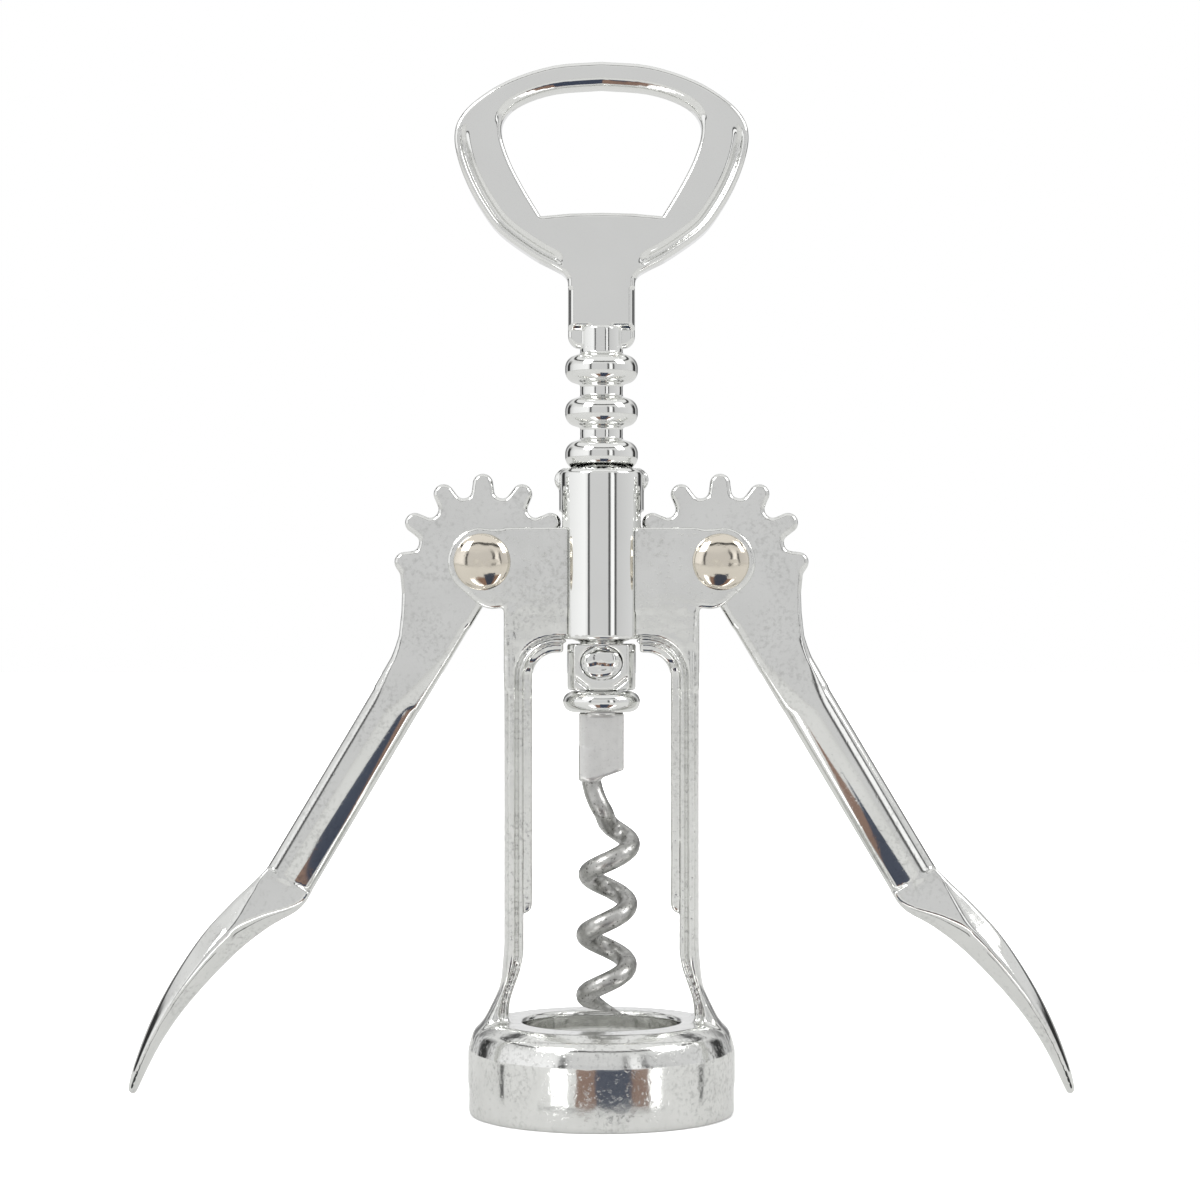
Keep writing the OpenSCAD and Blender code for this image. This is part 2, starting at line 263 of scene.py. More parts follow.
def wave(x, y, z, size, seed):  # slow unevenness of a casting, between -1 and 1
    k = 2 * math.pi / size
    return (np.sin(k * x + 1.3 * seed + 1.1 * np.sin(k * z * 0.7 + seed))
            * np.sin(k * z * 0.9 + 2.1 * seed + 0.9 * np.sin(k * y)) + np.sin(k * (y + 0.6 * z) + seed)) / 2


# finishes


def addNode(tree, kind, values=None, **settings):
    node = tree.nodes.new(kind)
    for key, value in settings.items():
        setattr(node, key, value)
    for key, value in (values or {}).items():
        if isinstance(value, bpy.types.NodeSocket):
            tree.links.new(value, node.inputs[key])
        else:
            node.inputs[key].default_value = value
    return node


def calc(tree, operation, a, b=0.0, c=0.0, clamp=False):
    node = addNode(tree, "ShaderNodeMath", {0: a, 1: b, 2: c}, operation=operation, use_clamp=clamp)
    return node.outputs[0]


def startGroup(name, inputs, outputs):
    group = bpy.data.node_groups.new(name, "ShaderNodeTree")
    group.interface.new_socket("Vector", in_out="INPUT", socket_type="NodeSocketVector")
    for label, value in inputs.items():
        socket = group.interface.new_socket(label, in_out="INPUT", socket_type="NodeSocketFloat")
        socket.default_value = value
    for label in outputs:
        group.interface.new_socket(label, in_out="OUTPUT", socket_type="NodeSocketFloat")
    return group, group.nodes.new("NodeGroupInput").outputs, group.nodes.new("NodeGroupOutput").inputs


def buildScratches():  # short hairlines from handling, in two crossing directions
    group, inside, out = startGroup("handlingScratches", {"Size": 900.0, "Amount": 1.0}, ["Mask"])
    marks = []
    for tilt, stretch in ((0.5, (1, 1, 0.05)), (-0.9, (0.06, 1, 1)), (1.9, (1, 0.2, 0.05))):
        turned = addNode(group, "ShaderNodeMapping", {"Vector": inside["Vector"],
                         "Rotation": (0, tilt, 0.3 * tilt), "Scale": stretch})
        grain = addNode(group, "ShaderNodeTexNoise", {"Vector": turned.outputs[0], "Scale": inside["Size"],
                        "Detail": 2.0, "Roughness": 0.6})
        lines = calc(group, "MULTIPLY", calc(group, "SUBTRACT", grain.outputs[0], 0.66), 9.0, clamp=True)
        marks.append(lines)
    patch = addNode(group, "ShaderNodeTexNoise", {"Vector": inside["Vector"], "Scale": 90.0, "Detail": 1.0})
    where = calc(group, "MULTIPLY", calc(group, "SUBTRACT", patch.outputs[0], 0.4), 3.0, clamp=True)
    total = calc(group, "MAXIMUM", calc(group, "MAXIMUM", marks[0], marks[1]), marks[2])
    both = calc(group, "MULTIPLY", total, where)
    group.links.new(calc(group, "MULTIPLY", both, inside["Amount"]), out["Mask"])
    return group


def buildCasting():  # unevenness left under the plating: slow waves, pits and a fine orange peel
    sizes = {"Wave Size": 120.0, "Pit Size": 900.0, "Pits": 1.0, "Speckle": 0.0}
    group, inside, out = startGroup("castUnevenness", sizes, ["Height", "Mottle"])
    slow = addNode(group, "ShaderNodeTexNoise", {"Vector": inside["Vector"], "Scale": inside["Wave Size"],
                   "Detail": 2.0, "Roughness": 0.5})
    fine = addNode(group, "ShaderNodeTexNoise", {"Vector": inside["Vector"], "Scale": inside["Pit Size"],
                   "Detail": 3.0, "Roughness": 0.6})
    pits = calc(group, "MULTIPLY", calc(group, "SUBTRACT", 0.42, fine.outputs[0]), 6.0, clamp=True)
    pits = calc(group, "MULTIPLY", pits, inside["Pits"])
    peel = calc(group, "MULTIPLY", fine.outputs[0], 0.12)
    height = calc(group, "ADD", slow.outputs[0], peel)
    height = calc(group, "SUBTRACT", height, calc(group, "MULTIPLY", pits, 0.3))
    group.links.new(height, out["Height"])
    mottle = calc(group, "MULTIPLY", slow.outputs[0], 0.6)
    mottle = calc(group, "ADD", mottle, calc(group, "MULTIPLY", pits, 0.5))
    patch = addNode(group, "ShaderNodeTexNoise", {"Vector": inside["Vector"], "Scale": 95.0, "Detail": 1.0})
    where = calc(group, "MULTIPLY", calc(group, "SUBTRACT", patch.outputs[0], 0.44), 6.0, clamp=True)
    spots = calc(group, "MULTIPLY", calc(group, "SUBTRACT", 0.53, fine.outputs[0]), 7.0, clamp=True)
    spots = calc(group, "MULTIPLY", calc(group, "MULTIPLY", spots, where), inside["Speckle"])
    mottle = calc(group, "ADD", mottle, spots)
    group.links.new(mottle, out["Mottle"])
    return group


def buildSmudges():  # breath-like haze where fingers have been
    group, inside, out = startGroup("handledHaze", {"Size": 55.0}, ["Haze"])
    cloud = addNode(group, "ShaderNodeTexNoise", {"Vector": inside["Vector"], "Scale": inside["Size"],
                    "Detail": 4.0, "Roughness": 0.65, "Distortion": 0.6})
    haze = calc(group, "MULTIPLY", calc(group, "SUBTRACT", cloud.outputs[0], 0.45), 2.5, clamp=True)
    group.links.new(haze, out["Haze"])
    return group


scratchGroup, castingGroup, smudgeGroup = buildScratches(), buildCasting(), buildSmudges()


def platedMetal(name, look):
    material = bpy.data.materials.new(name)
    material.use_nodes = True
    tree = material.node_tree
    shader = tree.nodes["Principled BSDF"]
    shader.inputs["Metallic"].default_value = look["metal"]
    place = addNode(tree, "ShaderNodeTexCoord").outputs["Object"]
    scratches = addNode(tree, "ShaderNodeGroup", node_tree=scratchGroup)
    casting = addNode(tree, "ShaderNodeGroup", node_tree=castingGroup)
    smudges = addNode(tree, "ShaderNodeGroup", node_tree=smudgeGroup)
    castSizes = {"Wave Size": look["waveSize"], "Pit Size": look["pitSize"], "Pits": look["pits"],
                 "Speckle": look["speckle"]}
    scratchSizes = {"Size": look["scratchSize"], "Amount": look["scratches"]}
    hazeSizes = {"Size": look["hazeSize"]}
    for node, sizes in ((scratches, scratchSizes), (casting, castSizes), (smudges, hazeSizes)):
        tree.links.new(place, node.inputs["Vector"])
        for label, value in sizes.items():
            node.inputs[label].default_value = value
    mottle = calc(tree, "MULTIPLY", casting.outputs["Mottle"], look["mottle"], clamp=True)
    tint = addNode(tree, "ShaderNodeMix", data_type="RGBA")
    tree.links.new(mottle, tint.inputs["Factor"])
    tint.inputs[6].default_value = (*look["colour"], 1)
    tint.inputs[7].default_value = (*look["darker"], 1)
    tree.links.new(tint.outputs[2], shader.inputs["Base Color"])
    rough = calc(tree, "MULTIPLY_ADD", smudges.outputs["Haze"], look["haze"], look["rough"])
    rough = calc(tree, "MULTIPLY_ADD", mottle, look["mottleRough"], rough)
    rough = calc(tree, "MULTIPLY_ADD", scratches.outputs["Mask"], 0.12, rough, clamp=True)
    tree.links.new(rough, shader.inputs["Roughness"])
    relief = calc(tree, "MULTIPLY", casting.outputs["Height"], look["waves"])
    relief = calc(tree, "MULTIPLY_ADD", scratches.outputs["Mask"], -look["scratchDepth"], relief)
    bump = addNode(tree, "ShaderNodeBump", {"Height": relief, "Strength": 1.0, "Distance": 0.001})
    tree.links.new(bump.outputs[0], shader.inputs["Normal"])
    return material


chromeLook = {"metal": 1.0, "colour": (0.86, 0.865, 0.845), "darker": (0.7, 0.705, 0.685), "mottle": 0.5,
              "mottleRough": 0.03, "rough": 0.055, "haze": 0.05, "hazeSize": 55, "scratches": 0.55,
              "scratchSize": 900, "scratchDepth": 0.002, "waveSize": 130, "waves": 0.016, "pitSize": 1400,
              "pits": 0.3, "speckle": 0.0}
steelLook = {**chromeLook, "colour": (0.7, 0.7, 0.68), "darker": (0.1, 0.098, 0.09), "mottle": 1.15,
             "mottleRough": 0.25, "rough": 0.24, "waveSize": 900, "waves": 0.05, "pitSize": 2300,
             "pits": 1.8, "scratches": 1.0}
looks = {
    "cast_chrome": {**chromeLook, "waves": 0.05, "waveSize": 330, "pits": 1.0, "mottle": 0.42,
                    "rough": 0.08, "mottleRough": 0.15, "speckle": 0.55, "darker": (0.4, 0.4, 0.385)},
    "polished_chrome": {**chromeLook, "rough": 0.04, "waves": 0.008, "pits": 0.1, "haze": 0.03},
    "lever_chrome": {**chromeLook, "waves": 0.014, "rough": 0.06, "pits": 0.8, "mottle": 0.4,
                     "speckle": 0.5, "darker": (0.42, 0.42, 0.405)},
    "shaft_chrome": {**chromeLook, "waves": 0.014, "rough": 0.06, "scratches": 0.8},
    "rivet_nickel": {**chromeLook, "colour": (0.80, 0.745, 0.65), "darker": (0.66, 0.59, 0.48),
                     "rough": 0.09, "scratches": 0.9, "pits": 0.7, "waves": 0.02, "waveSize": 300},
    "worm_steel": steelLook,
    "shank_steel": {**steelLook, "colour": (0.8, 0.8, 0.785), "darker": (0.5, 0.5, 0.485), "mottle": 0.5,
                    "rough": 0.3, "waves": 0.02},
}
finish = {name: platedMetal(name, look) for name, look in looks.items()}
print("stage: finishes ready")

# frame casting: bell, posts and crossplates

casting = {"bellHeight": 14.6, "socketRadius": 16.0, "socketDepth": 11.0, "corkRadius": 12.5, "soft": 0.6,
           "postRadius": 15.4, "flangeIn": 13.55, "webIn": 12.4, "ribIn": 11.0, "webHalf": 4.0,
           "ribHalf": 2.2, "halfDepth": 4.6, "plateHalf": 4.5, "recess": 0.22, "ribEnd": 31.7,
           "archTop": 73.0, "archCorner": 4.0, "flangeTop": 80.3, "endRadius": 5.2, "slotHalf": 2.2}
bellR = frameHigh[1]


def bellOutline(c=casting):
    e, h = c["soft"], c["bellHeight"]
    shoulder = curveThrough([(bellR - e, h - 4.6), (bellR - 0.8 - e, h - 2.1),
                             (bellR - 2.0 - e, h - 0.6 - e), (bellR - 3.3 - e, h - e)], 5)
    rim = [(c["socketRadius"] + e, e), (bellR - e, e)]
    inner = [(c["corkRadius"] + e, h - e), (c["corkRadius"] + e, c["socketDepth"] + e),
             (c["socketRadius"] + e, c["socketDepth"] + e)]
    return np.array(rim + shoulder.tolist() + inner)


def footOutline(c=casting):
    h, p = c["bellHeight"], c["postRadius"]
    foot = curveThrough([(bellR - 0.3, h - 4.6), (bellR - 1.0, h - 1.9), (bellR - 2.3, h + 0.1),
                         (p + 1.4, h + 3.8), (p + 0.5, h + 6.5), (p, h + 12)], 5)
    return np.array([(0, 5), (bellR - 0.3, 5)] + foot.tolist() + [(p, 110), (0, 110)])


def innerFoot(z, inner, c=casting):  # the posts' inside runs out towards the bell's mouth
    return inner + 2.3 * ease((c["bellHeight"] + 11 - z) / 9.5)


bellLine, footLine = bellOutline(), footOutline()


def frameShape(x, y, z, c=casting):
    ax, ay, r = np.abs(x), np.abs(y), np.hypot(x, y)
    bell = outlineDistance(bellLine, r, z) - c["soft"]
    envelope = outlineDistance(footLine, r, z)
    archSide, corner = c["ribIn"], c["archCorner"]
    window = roundedBox(ax, z - (c["archTop"] - 60), archSide, 60, corner)  # the arch and all below it
    top = pivot[2] + c["endRadius"]
    body = roundedBox(ax, z - (top - 30), c["postRadius"], 30, 0.8)
    end = np.hypot(np.maximum(ax - pivot[0], 0), z - pivot[2]) - c["endRadius"] - 0.25 * ease((ax - 17) / 3)
    heel = np.hypot(ax - pivot[0] + 1.7, z - pivot[2] + 3.2) - 4.2
    front = blendJoin(blendJoin(body, end, 1.0), heel, 1.0)
    face = c["plateHalf"] - c["recess"] * ease((c["flangeTop"] + 3 - z) / 12)
    band = c["ribHalf"] + 1.0 * ease((z - 70) / 2)
    half = band + (c["webHalf"] - band) * ease((window - 1.25) / 0.35)
    half = half - 0.55 * ease((window - 1.9) / 0.4)  # a thin groove outside the ridge round the arch
    half = half + (face - c["webHalf"] + 0.55) * ease((window - 2.45) / 0.35)
    plates = blendCommon(blendCommon(front, -window, 0.35), (ay - half) * 0.8, 0.5)
    plates = blendCommon(plates, (c["archTop"] - 6) - z, 0.4)
    post = np.maximum(innerFoot(z, c["flangeIn"]) - ax, z - c["flangeTop"])
    post = blendCommon(roundedSlab(post, y, c["halfDepth"], 0.9), envelope, 0.9)
    web = roundedSlab(np.maximum(innerFoot(z, c["webIn"]) - ax, z - 68.8), y,
                      c["webHalf"] - 0.55 * ease((ax - innerFoot(z, c["flangeIn"]) + 0.65) / 0.4), 0.4)
    web = blendCommon(web, envelope, 0.5)
    ribLow = c["ribEnd"] + c["webIn"] - c["ribIn"]
    ribRound = np.hypot(np.maximum(c["webIn"] - ax, 0), np.minimum(z - ribLow, 0)) + c["ribIn"] - c["webIn"]
    rib = roundedSlab(np.maximum(ribRound, np.maximum(ax - 14, z - 68.6)), y, c["ribHalf"], 0.5)
    rib = np.maximum(rib, -(ax - 9))
    inner = np.minimum(blendJoin(web, rib, 0.25), plates)
    shell = blendJoin(post, inner, 0.3)
    slot = np.maximum(ay - c["slotHalf"], c["archTop"] - z)
    shell = blendCut(shell, slot, 0.4)
    shell = blendJoin(bell, shell, 1.1)
    sleeve = np.maximum(r - tubeHigh[1] - 0.02, 66 - z)
    shell = blendCut(shell, sleeve, 0.25)
    pin = np.hypot(ax - pivot[0], z - pivot[2]) - 2.55
    shell = blendCut(shell, pin, 0.2)
    lumpy = wave(x, y, z, 2.3, 1.0) * wave(x, y, z, 6.1, 4.0)
    return shell + 0.03 * lumpy * ease((c["flangeTop"] + 1 - z) / 2) * ease((z - 70) / 6)


points, faces = castSurface(frameShape, frameLow, frameHigh, 0.37)
frameCast = meshPiece("frameCasting", points, faces, finish["cast_chrome"])
standFor(frameCast, "frame", "cast_chrome", "frame")
print("stage: frame casting", len(faces), "faces")

# guide tube

sleeveSet = {"wall": 0.87, "earRadius": 1.85, "earOut": 5.6, "earHalf": 1.2, "windowHalf": 2.3,
             "windowHigh": 8.0}


def sleeveShape(x, y, z, c=sleeveSet):
    ax, r = np.abs(x), np.hypot(x, y)
    outer, low, high = tubeHigh[1], tubeLow[2], tubeHigh[2]
    body = roundedBox(r - outer / 2, z - (low + high) / 2, outer / 2, (high - low) / 2, 0.2)
    body = blendCommon(body, (r - outer + z - high + 0.75) * 0.7, 0.15)
    ear = np.hypot(ax - c["earOut"], z - high + c["earRadius"] + 0.02) - c["earRadius"]
    body = blendJoin(body, roundedSlab(ear, y, c["earHalf"], 0.45), 0.35)
    gate = roundedBox(y, z - pivot[2], c["windowHalf"], c["windowHigh"], 0.4)
    body = blendCut(body, np.maximum(gate, 4 - ax), 0.15)
    return blendCut(body, r - (outer - c["wall"]), 0.12)


points, faces = castSurface(sleeveShape, tubeLow, tubeHigh, 0.3)
guideSleeve = meshPiece("guideSleeve", points, faces, finish["polished_chrome"])
standFor(guideSleeve, "frame", "polished_chrome", "guide_tube")
print("stage: guide tube", len(faces), "faces")

# pivot rivets

rivetSet = {"headRadius": 4.5, "headHigh": 2.15, "tailRadius": 3.55, "tailHigh": 1.05, "shank": 2.48}


def domeProfile(radius, high, base, sign, steps=9):
    turns = [math.radians(90 * i / steps) for i in range(steps + 1)]
    arc = [(radius * math.cos(t), base + sign * (0.25 + (high - 0.25) * math.sin(t))) for t in turns]
    return [(radius - 0.15, base), (radius, base + 0.12 * sign)] + arc[1:-1] + [(0, base + sign * high)]


def rivetProfile(c=rivetSet, base=casting["halfDepth"] - 0.1):
    tail = domeProfile(c["tailRadius"], c["tailHigh"], -base, -1)[::-1]
    head = domeProfile(c["headRadius"], c["headHigh"], base, 1)
    return tail + [(c["shank"], -base), (c["shank"], base)] + head


def hammered(depth, size):  # small flats left by the peening hammer
    def change(p):
        r = np.hypot(p[:, 0], p[:, 1])
        dents = wave(p[:, 0], p[:, 1], p[:, 2], size, 2.0) * ease(1.4 - r / 4.2)
        moved = p.copy()
        moved[:, 2] += depth * dents * np.where(np.abs(p[:, 2]) > 4.3, 1, 0)
        return moved
    return change


for side, label in ((-1, "left"), (1, "right")):
    rivet = lathePiece("rivet" + label.title(), rivetProfile(), finish["rivet_nickel"], 72,
                       (side * pivot[0], 0, pivot[2]), (0, -1, 0), hammered(0.05, 2.6))
    standFor(rivet, "frame", "rivet_nickel", "rivet_" + label)
print("stage: rivets")

# levers

wing = {"angle": 30.8, "rootRadius": 10.5, "tipRadius": 14.0, "toothHalf": 1.6, "headHalf": 2.0,
        "armMiddle": -0.6, "armWide": 4.0, "armHalf": 3.0, "armStart": 2.0, "swellStart": 12.8,
        "crown": 1.15, "crownShift": 0.12, "crease": 59.3, "ridgeStart": 70.6, "tip": 101.0, "bore": 2.55}
spoonOuter = curveThrough([(54, -4.6), (59, -4.55), (66.4, -6.5), (73.6, -8), (82.2, -8.45), (89.5, -8.05),
                           (96.6, -6.85), (101.3, -5.45)])
spoonInner = curveThrough([(54, 3.4), (58.6, 3.42), (62.2, 3.15), (67.2, 0.45), (73.7, -2), (83.7, -4.2),
                           (92.1, -4.85), (101.3, -4.15)])
spoonRidge = curveThrough([(54, 3.0), (59.3, 3.0), (66, 3.5), (76, 4.3), (86, 4.2), (95, 3.2),
                           (101.3, 1.25)])
spoonOuterEdge = curveThrough([(54, 3.0), (59.3, 2.95), (64, 2.4), (71, 1.75), (82, 1.3), (101.3, 0.6)])
spoonInnerEdge = curveThrough([(54, 3.0), (59.3, 2.75), (62, 2.15), (66, 1.35), (71, 0.95), (76, 1.05),
                               (84, 1.1), (101.3, 0.6)])
webLine = np.array([(-1, 0), (0, 2), (13.1, 0.4), (13.05, -2.2), (12.8, -5), (12.9, -8), (13.3, -11.6),
                    (14.4, -15.2), (16.9, -19.6), (14.8, -24.5), (10.2, -23.2), (1.0, -7.7), (-1.0, -4.3)])
# the head is cut away inside this outline, behind the crossplate's heel
heelLine = np.array([(-7.3, -7.9), (-4.9, -7.2), (-2.6, -6.1), (-0.4, -6.2), (0.2, -6.9), (3.3, -12.0),
                     (0, -16), (-16, -16), (-16, -9)])


def wingShape(x, y, z, c=wing):
    dx, dz, ay = x - pivot[0], z - pivot[2], np.abs(y)
    lean = math.radians(c["angle"])
    along, inward = dx * math.sin(lean) - dz * math.cos(lean), -dx * math.cos(lean) - dz * math.sin(lean)
    r = np.hypot(dx, dz)
    knuckle = c["tipRadius"] - c["toothHalf"]
    teeth = np.full(x.shape, 1e9)
    for k in range(8):
        a = math.radians(30 * k)
        p, q = dx * math.cos(a) + dz * math.sin(a), -dx * math.sin(a) + dz * math.cos(a)
        near = np.clip(p, 8.5, knuckle)
        teeth = np.minimum(teeth, np.hypot(p - near, q) - c["toothHalf"] - 0.13 * (knuckle - near))
    disc = blendCut(r - c["rootRadius"], outlineDistance(heelLine, dx, dz), 0.5)
    disc = blendJoin(disc, outlineDistance(webLine, dx, dz), 0.6)
    strip = np.abs(inward - c["armMiddle"]) - c["armWide"]
    head = roundedSlab(blendJoin(disc, teeth, 0.9), y, c["headHalf"], 0.7)
    grown = ease((along - c["swellStart"]) / 15)  # the arm thickens out of the flat head
    side = (inward - c["armMiddle"]) / c["armWide"]
    swell = c["headHalf"] - 0.25 + (c["armHalf"] - c["headHalf"] + 0.25) * grown
    swell = swell - c["crown"] * grown * (np.abs(side + c["crownShift"]) ** 2.2)
    arm = roundedSlab(strip, ay, swell, 0.6 + 0.5 * grown)
    arm = blendCommon(arm, np.abs(along - (c["armStart"] + c["crease"]) / 2)
                      - (c["crease"] - c["armStart"]) / 2, 0.3)
    reach, back, ridge, outerEdge, innerEdge = [np.interp(along, line[:, 0], line[:, 1]) for line in (
        spoonInner, spoonOuter, spoonRidge, spoonOuterEdge, spoonInnerEdge)]
    middle, halfWide = (reach + back) / 2, (reach - back) / 2
    edge = outerEdge + (innerEdge - outerEdge) * ease((inward - middle) / 1.2 + 0.5)
    across = np.sqrt((inward - middle) ** 2 + 0.3**2) - 0.12
    flat = np.clip((c["ridgeStart"] - along) / (c["ridgeStart"] - c["crease"]), 0, 0.93)
    rise = np.maximum(blendJoin((1 - across / halfWide) / (1 - flat), 1.0, 0.3), 0)
    spoon = blendCommon((ay - edge - (ridge - edge) * rise) * 0.62, np.abs(inward - middle) - halfWide, 0.5)
    spoon = blendCommon(spoon, c["crease"] - 0.5 - along, 0.3)
    spoon = blendCommon(spoon, along - c["tip"], 0.8)
    whole = blendJoin(blendJoin(head, arm, 0.7), spoon, 0.15)
    return blendCut(whole, r - c["bore"], 0.15)


points, faces = castSurface(wingShape, leverLow, leverHigh, 0.31)
for side, label in ((1, "right"), (-1, "left")):
    turned = faces if side > 0 else faces[:, ::-1]
    lever = meshPiece("wing" + label.title(), points * (side, 1, 1), turned, finish["lever_chrome"])
    standFor(lever, "lever_" + label, "lever_chrome", "lever_" + label)
print("stage: levers", len(faces), "faces each")

# opener handle and neck

opener = {"faceHalf": 2.95, "beadHalf": 3.15, "neckWide": 5.3, "neckLow": 121.2, "neckTop": 136.0,
          "core": 3.4, "coreTop": 124.6}


def bothSides(points):
    half = np.array(points)
    return np.vstack([half, (half * (-1, 1))[::-1][1 if half[-1][0] == 0 else 0:]])


openerOuter = bothSides(curveThrough([(5.3, 132.5), (7.6, 133.8), (11, 135.6), (16.2, 139.4), (19.1, 143.2),
                                      (21.2, 147), (22.7, 151), (23.25, 154.6), (22.4, 157.6), (19.6, 160.5),
                                      (14.6, 163.5), (7.5, 165.75), (0, 166.35)], 4))
mouthSide = curveThrough([(9.6, 141.95), (12.3, 146.4), (14.5, 150.7), (15.8, 154.9), (15.3, 157.7),
                          (12.5, 160), (7.3, 161.7), (0, 162.3)], 4)
openerHole = bothSides(np.vstack([[(0, 142.5), (5, 142.38)], mouthSide]))


def openerShape(x, y, z, c=opener):
    ay, r = np.abs(y), np.hypot(x, y)
    outer, hole = outlineDistance(openerOuter, x, z), outlineDistance(openerHole, x, z)
    inFromEdge = -outer
    lower = ease((157.5 - z) / 5) * ease((np.abs(x) - 5.5) / 2.5)
    bead = c["beadHalf"] - 0.85 * ease((inFromEdge - 0.75) / 0.6) + 0.65 * ease((inFromEdge - 1.4) / 1.3)
    roof = c["faceHalf"] + 0.05 - 0.05 * np.abs(hole - 3.2) - 0.75 * np.maximum(1.25 - hole, 0)
    half = c["faceHalf"] + (bead - c["faceHalf"]) * lower
    half = half + (roof - half) * ease((z - 155.5) / 4)
    half = half - 1.35 * ease((c["coreTop"] + 0.3 - z) / 0.9)  # the flat steps back to the round shaft
    neck = np.maximum(np.abs(x) - c["neckWide"], np.maximum(c["neckLow"] - z, z - c["neckTop"]))
    outline = blendCommon(blendJoin(outer, neck, 1.2), -hole, 0.3)
    body = blendCommon(outline, (ay - half) * 0.85, 0.75)
    body = blendCommon(body, (np.abs(x) - c["neckWide"] - 0.55 + 0.55 * (ay - 0.7)
                              - 60 * ease((z - 130.5) / 3)) * 0.87, 0.3)
    body = blendCommon(body, (r - c["core"] - 0.9 - 0.9 * (z - c["neckLow"])) * 0.7, 0.5)
    # below its shoulders the neck has to enter the tube when the handle is pushed right down
    body = blendCut(body, np.maximum(boreRadius - 0.06 - r, z - neckStop), 0.1)
    core = roundedBox(r, z - (c["coreTop"] - 3), c["core"], 3, 0.3)
    return blendJoin(body, core, 0.2)


boreRadius = tubeHigh[1] - sleeveSet["wall"]
slide = next(j for j in frame["record"]["behaviour"]["joints"] if j["name"] == "shaft_slide")
neckStop = tubeHigh[2] + slide["range_m"][1] / mm + 0.15
openerLow, openerHigh = (shaftLow[0], -3.6, 120.5), (shaftHigh[0], 3.6, shaftHigh[2])
points, faces = castSurface(openerShape, openerLow, openerHigh, 0.28)
openerHandle = meshPiece("openerHandle", points, faces, finish["shaft_chrome"])
standFor(openerHandle, "screw", "shaft_chrome", "rack_shaft")
print("stage: opener handle", len(faces), "faces")

# block at the shaft's foot, with its cross pin

block = {"radius": 5.45, "flat": 3.45, "high": 7.4, "stub": 3.3, "nickDepth": 0.45}


def blockShape(x, y, z, c=block):
    ax, ay, r = np.abs(x), np.abs(y), np.hypot(x, y)
    low = shaftLow[2]
    body = roundedBox(r - c["radius"] / 2, z - low - c["high"] / 2, c["radius"] / 2, c["high"] / 2, 0.45)
    body = blendCommon(body, ay - c["flat"], 0.25)
    nick = (ax - 2.9) * 0.62 - (z - low - 1.0) * 0.78  # slanting cuts at the flat's lower corners
    nick = np.maximum(np.abs(nick) - 0.22, np.abs(ax - 3.1) - 1.0)
    nick = np.maximum(nick, c["flat"] - c["nickDepth"] - ay)
    body = blendCut(body, nick, 0.2)
    bed = np.hypot(x * 0.95, (z - pinMiddle) * 1.15) - 3.15
    body = blendCut(body, np.maximum(bed, c["flat"] - 0.3 - ay), 0.2)
    stub = np.maximum(r - c["stub"], np.abs(z - low - 5) - 5)
    return blendJoin(body, stub, 0.3)


pinMiddle = (pinLow[2] + pinHigh[2]) / 2
points, faces = castSurface(blockShape, (-5.5, -3.5, shaftLow[2]), (5.5, 3.5, shaftLow[2] + 10), 0.22)
shaftBlock = meshPiece("shaftBlock", points, faces, finish["shaft_chrome"])
standFor(shaftBlock, "screw", "shaft_chrome", "rack_shaft")


def peened(p):  # flattened and dented by the hammer, so no longer round
    r = np.hypot(p[:, 0], p[:, 1])
    moved = p.copy()
    outer = np.abs(p[:, 2]) > end - 0.35
    dents = wave(p[:, 0], p[:, 1], p[:, 2], 3.4, 5.0) + 0.5 * wave(p[:, 0], p[:, 1], p[:, 2], 1.7, 2.0)
    moved[:, 2] -= np.sign(p[:, 2]) * 0.26 * np.clip(dents + 0.35, 0, 1.2) * outer
    bearing = np.arctan2(p[:, 1], p[:, 0])
    lobes = 0.05 * np.sin(2 * bearing + 0.6) + 0.03 * np.sin(5 * bearing)
    moved[:, :2] *= (1 + lobes * (r > 1.6))[:, None]
    moved[:, 1] *= 0.88
    return moved


end = pinHigh[1]
pinEnd = [(0, end), (0.5, end), (0.9, end), (1.3, end), (1.7, end), (2.1, end - 0.04), (2.5, end - 0.12),
          (2.8, end - 0.32), (2.8, end - 0.45), (1.4, end - 0.5)]
pinProfile = [(r, -h) for r, h in pinEnd] + pinEnd[::-1]
pin = lathePiece("crossPin", pinProfile, finish["shaft_chrome"], 48, (0, 0, pinMiddle), (0, -1, 0), peened)
standFor(pin, "screw", "shaft_chrome", "worm_pin")

# stop collar

collarSet = {"bore": 2.65, "round": 1.68}
middle = (collarLow[2] + collarHigh[2]) / 2
core = collarHigh[0] - collarSet["round"]
arc = [math.radians(a) for a in range(-90, 91, 9)]
rim = [(core + collarSet["round"] * math.cos(a), middle + collarSet["round"] * math.sin(a)) for a in arc]
lip = collarSet["bore"] + 0.18
bead = [(collarSet["bore"], middle + 1.5), (collarSet["bore"], middle - 1.5), (lip, middle - 1.68)]
collar = lathePiece("stopCollar", bead + rim + [(lip, middle + 1.68)], finish["polished_chrome"], 96)
standFor(collar, "stop_collar", "polished_chrome", "stop_collar")
print("stage: block, pin and collar")

# ring rack: one ring and its neck of shaft, repeated up the shaft


